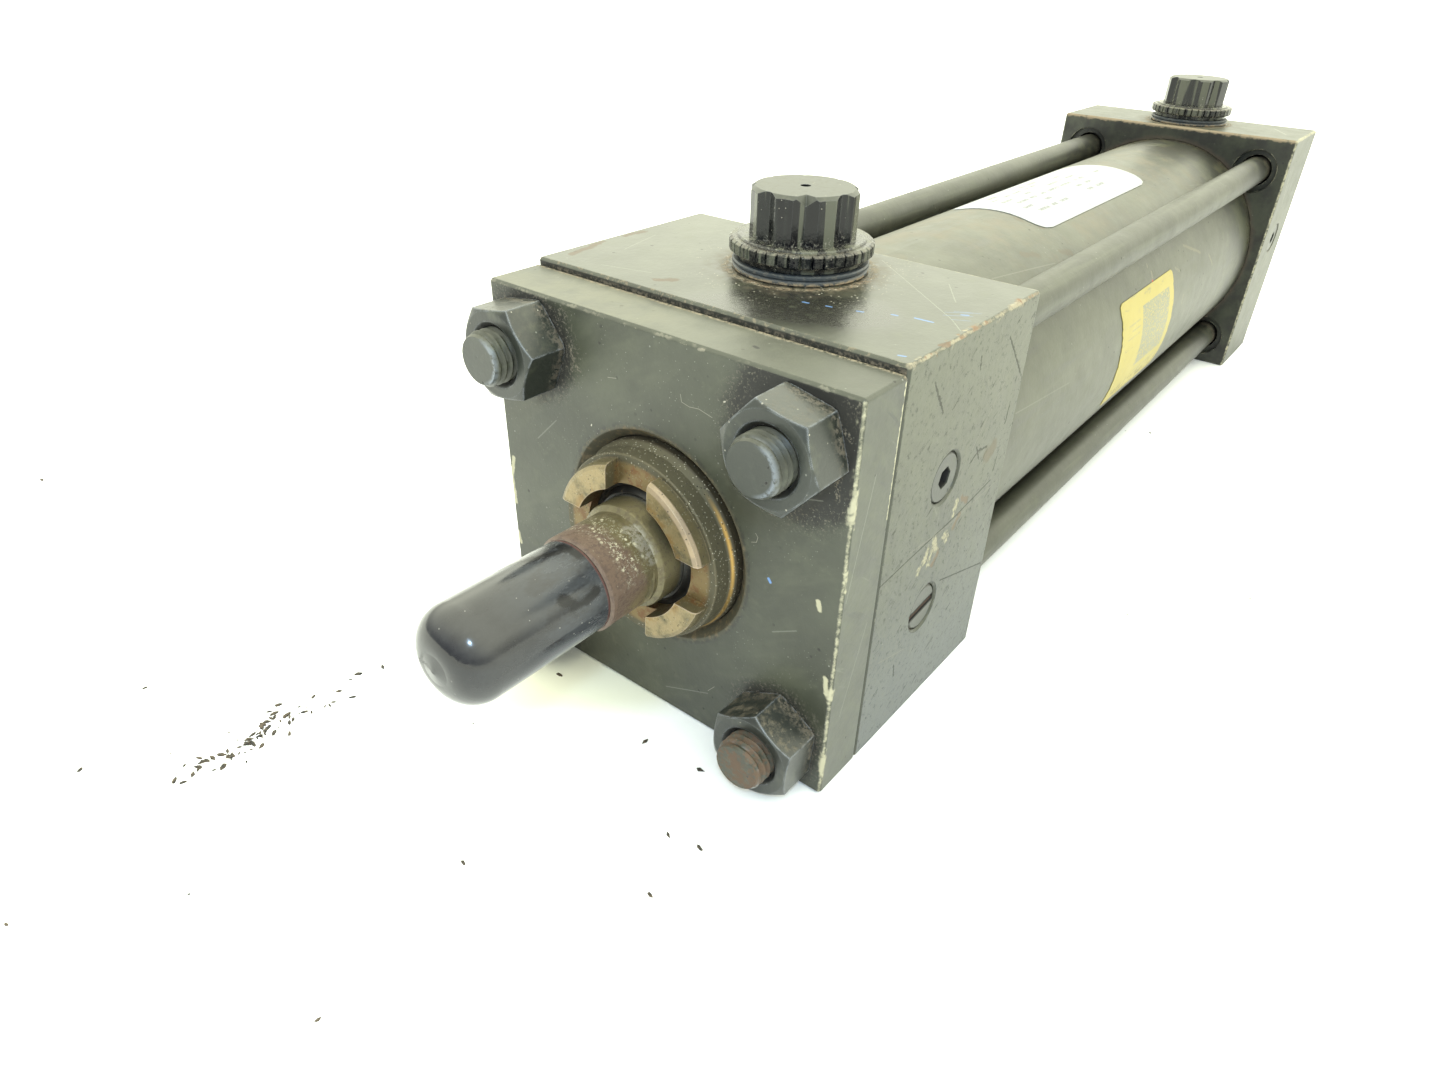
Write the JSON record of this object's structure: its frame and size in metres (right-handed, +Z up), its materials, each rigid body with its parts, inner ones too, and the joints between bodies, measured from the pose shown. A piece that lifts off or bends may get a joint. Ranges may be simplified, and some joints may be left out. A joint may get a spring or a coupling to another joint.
{
  "type": "pneumatic cylinder",
  "caption": "Square-block tie-rod pneumatic cylinder with castellated bronze gland, capped rod thread, plugged top ports, side cushion needles and a sliding, turning rod.",
  "frame": {"origin": "where the rod axis meets the front face of the retainer plate", "axes": "+X out of the rod end, +Y towards the side with the cushion needles, +Z up through the ports"},
  "size_m": [0.2933, 0.0636, 0.0751],
  "materials": {
    "block_paint": "worn satin black-green paint on steel",
    "tube_paint": "semi-gloss black paint on drawn tube",
    "tie_rod_steel": "painted steel",
    "nut_steel": "painted steel, dusty",
    "gland_bronze": "tarnished bearing bronze",
    "wiper_rubber": "matt black rubber",
    "seal_rubber": "black rubber",
    "cushion_seal_bronze": "bronze",
    "wear_ring_plastic": "filled plastic",
    "rod_steel": "hard-chromed steel, rusty at the bare neck",
    "piston_iron": "machined iron",
    "cushion_steel": "ground steel",
    "screw_steel": "painted over steel",
    "ball_steel": "polished steel",
    "vinyl_black": "dipped vinyl, glossy",
    "plug_plastic": "moulded polyethylene",
    "white_label_paper": "gloss label, scuffed",
    "yellow_label_paper": "foil label, scuffed"
  },
  "bodies": {
    "barrel": {"retainer_plate": "block_paint", "head_block": "block_paint", "cap_block": "block_paint", "gland": "gland_bronze", "rod_wiper": "wiper_rubber", "rod_lip_seal": "seal_rubber", "gland_o_ring": "seal_rubber", "cylinder_tube": "tube_paint", "head_tube_seal": "seal_rubber", "cap_tube_seal": "seal_rubber", "tie_rod_1": "tie_rod_steel", "tie_rod_2": "tie_rod_steel", "tie_rod_3": "tie_rod_steel", "tie_rod_4": "tie_rod_steel", "front_nuts": "nut_steel", "rear_nuts": "nut_steel", "head_cushion_seal": "cushion_seal_bronze", "cap_cushion_seal": "cushion_seal_bronze", "head_check_plug": "screw_steel", "cap_check_plug": "screw_steel", "white_label": "white_label_paper", "yellow_label": "yellow_label_paper"},
    "piston_carriage": {"piston_seal_front": "seal_rubber", "piston_seal_rear": "seal_rubber", "piston_wear_ring": "wear_ring_plastic"},
    "rod": {"piston_rod": "rod_steel", "piston": "piston_iron", "front_cushion_sleeve": "cushion_steel", "rear_cushion_spear": "cushion_steel"},
    "protector": {"thread_protector": "vinyl_black"},
    "head_plug_lifter": {"head_plug_ring": "plug_plastic"},
    "head_plug": {"head_port_plug": "plug_plastic"},
    "cap_plug_lifter": {"cap_plug_ring": "plug_plastic"},
    "cap_plug": {"cap_port_plug": "plug_plastic"},
    "head_needle_lifter": {"head_needle_o_ring": "seal_rubber"},
    "head_needle": {"head_cushion_needle": "screw_steel"},
    "cap_needle_lifter": {"cap_needle_o_ring": "seal_rubber"},
    "cap_needle": {"cap_cushion_needle": "screw_steel"},
    "head_ball": {"head_check_ball": "ball_steel"},
    "cap_ball": {"cap_check_ball": "ball_steel"}
  },
  "joints": [
    {"name": "rod_slide", "type": "slide", "parent": "barrel", "child": "piston_carriage", "axis": [1, 0, 0], "range_m": [0, 0.1428]},
    {"name": "rod_spin", "type": "hinge", "parent": "piston_carriage", "child": "rod", "pos_m": [0, 0, 0], "axis": [1, 0, 0], "continuous": true},
    {"name": "protector_pull", "type": "slide", "parent": "rod", "child": "protector", "axis": [1, 0, 0], "range_m": [0, 0.024]},
    {"name": "head_plug_lift", "type": "slide", "parent": "barrel", "child": "head_plug_lifter", "axis": [0, 0, 1], "range_m": [0, 0.00847]},
    {"name": "head_plug_turn", "type": "hinge", "parent": "head_plug_lifter", "child": "head_plug", "pos_m": [-0.0329, 0, 0.03225], "axis": [0, 0, 1], "range_deg": [0, 2160.5]},
    {"name": "cap_plug_lift", "type": "slide", "parent": "barrel", "child": "cap_plug_lifter", "axis": [0, 0, 1], "range_m": [0, 0.00847]},
    {"name": "cap_plug_turn", "type": "hinge", "parent": "cap_plug_lifter", "child": "cap_plug", "pos_m": [-0.232, 0, 0.03225], "axis": [0, 0, 1], "range_deg": [0, 2160.5]},
    {"name": "head_needle_lift", "type": "slide", "parent": "barrel", "child": "head_needle_lifter", "axis": [0, 1, 0], "range_m": [0, 0.0016]},
    {"name": "head_needle_turn", "type": "hinge", "parent": "head_needle_lifter", "child": "head_needle", "pos_m": [-0.0254, 0.0317, 0.0109], "axis": [0, 1, 0], "range_deg": [0, 720.5]},
    {"name": "cap_needle_lift", "type": "slide", "parent": "barrel", "child": "cap_needle_lifter", "axis": [0, 1, 0], "range_m": [0, 0.0016]},
    {"name": "cap_needle_turn", "type": "hinge", "parent": "cap_needle_lifter", "child": "cap_needle", "pos_m": [-0.2323, 0.0317, 0.0046], "axis": [0, 1, 0], "range_deg": [0, 720.5]},
    {"name": "head_ball_lift", "type": "slide", "parent": "barrel", "child": "head_ball", "axis": [0, 1, 0], "range_m": [0, 0.0019]},
    {"name": "cap_ball_lift", "type": "slide", "parent": "barrel", "child": "cap_ball", "axis": [0, -1, 0], "range_m": [0, 0.0019]}
  ],
  "couplings": [
    {"joint": "head_plug_turn", "follows": "head_plug_lift", "rad_per_m": 4452.7},
    {"joint": "cap_plug_turn", "follows": "cap_plug_lift", "rad_per_m": 4452.7},
    {"joint": "head_needle_turn", "follows": "head_needle_lift", "rad_per_m": 7854},
    {"joint": "cap_needle_turn", "follows": "cap_needle_lift", "rad_per_m": 7854}
  ]
}
